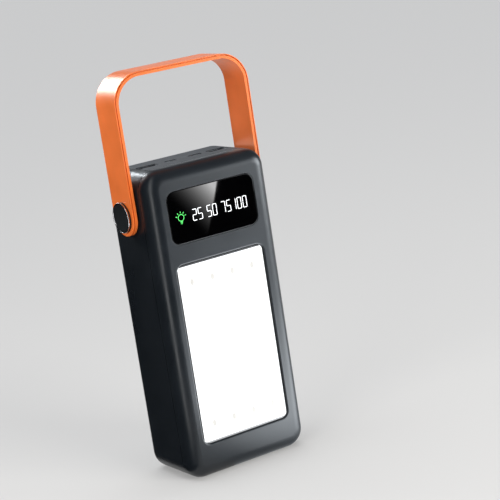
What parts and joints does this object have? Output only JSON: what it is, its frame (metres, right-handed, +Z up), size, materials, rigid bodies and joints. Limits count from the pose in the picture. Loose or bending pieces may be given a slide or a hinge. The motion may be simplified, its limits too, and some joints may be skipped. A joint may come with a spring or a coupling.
{
  "type": "power bank with lamp and swinging carry handle",
  "caption": "Upright rounded-box power bank with a front lamp panel, a charge-level display, charging sockets on top and a U-shaped carry handle that swings on two side pivots.",
  "frame": {"origin": "centre of the base, under the middle of the case", "axes": "+Z up, lamp and display face -Y, +X to the right seen from the front"},
  "size_m": [0.098, 0.05, 0.248],
  "materials": {
    "case_plastic": "satin dark slate grey, fine moulded grain",
    "port_plate_plastic": "matt slate grey",
    "handle_plastic": "satin orange",
    "cap_plastic": "satin near black",
    "chrome": "bright",
    "lens": "polished black",
    "lamp_white": "frosted white, lit from behind",
    "circuit_board": "green solder mask",
    "white_plastic": "white",
    "black_plastic": "black",
    "steel": "plated",
    "nickel": "plated strip",
    "cell_sleeve": null,
    "wire_red": "red insulation",
    "wire_black": "black insulation"
  },
  "bodies": {
    "case": {"battery_wire_negative": "wire_black", "battery_wire_positive": "wire_red", "board_screw_left": "steel", "board_screw_right": "steel", "button_switch": "black_plastic", "capacitor_1": "steel", "capacitor_2": "steel", "cell_01": "cell_sleeve", "cell_02": "cell_sleeve", "cell_03": "cell_sleeve", "cell_04": "cell_sleeve", "cell_05": "cell_sleeve", "cell_06": "cell_sleeve", "cell_07": "cell_sleeve", "cell_08": "cell_sleeve", "cell_09": "cell_sleeve", "cell_10": "cell_sleeve", "cell_11": "cell_sleeve", "cell_12": "cell_sleeve", "cell_13": "cell_sleeve", "cell_14": "cell_sleeve", "cell_15": "cell_sleeve", "cell_16": "cell_sleeve", "controller_chip": "black_plastic", "display_board": "circuit_board", "display_lens": "lens", "display_light_box": "black_plastic", "front_cover": "case_plastic", "inductor": "black_plastic", "lamp_board": "circuit_board", "lamp_diffuser": "lamp_white", "lamp_reflector": "white_plastic", "lamp_screw_left_lower": "steel", "lamp_screw_left_upper": "steel", "lamp_screw_right_lower": "steel", "lamp_screw_right_upper": "steel", "lamp_wire_negative": "wire_black", "lamp_wire_positive": "wire_red", "main_board": "circuit_board", "micro_usb_socket": "steel", "nickel_strip_bottom": "nickel", "nickel_strip_middle": "nickel", "nickel_strip_top": "nickel", "pivot_cap_left": "cap_plastic", "pivot_cap_right": "cap_plastic", "pivot_ring_left": "chrome", "pivot_ring_right": "chrome", "pivot_screw_left": "steel", "pivot_screw_right": "steel", "pivot_washer_left": "black_plastic", "pivot_washer_right": "black_plastic", "port_plate": "port_plate_plastic", "rear_shell": "case_plastic", "usb_a_shell_left": "steel", "usb_a_shell_right": "steel", "usb_a_tongue_left": "white_plastic", "usb_a_tongue_right": "white_plastic", "usb_c_socket": "steel"},
    "handle": {"handle": "handle_plastic"},
    "button": {"power_button": "cap_plastic"}
  },
  "joints": [
    {"name": "handle_swing", "type": "hinge", "parent": "case", "child": "handle", "pos_m": [0, 0, 0.1638], "axis": [1, 0, 0], "range_deg": [-153, 153]},
    {"name": "power_button_press", "type": "slide", "parent": "case", "child": "button", "axis": [-1, 0, 0], "range_m": [0, 0.0008], "stiffness_N_per_m": 1000, "springref_m": -0.0005}
  ]
}
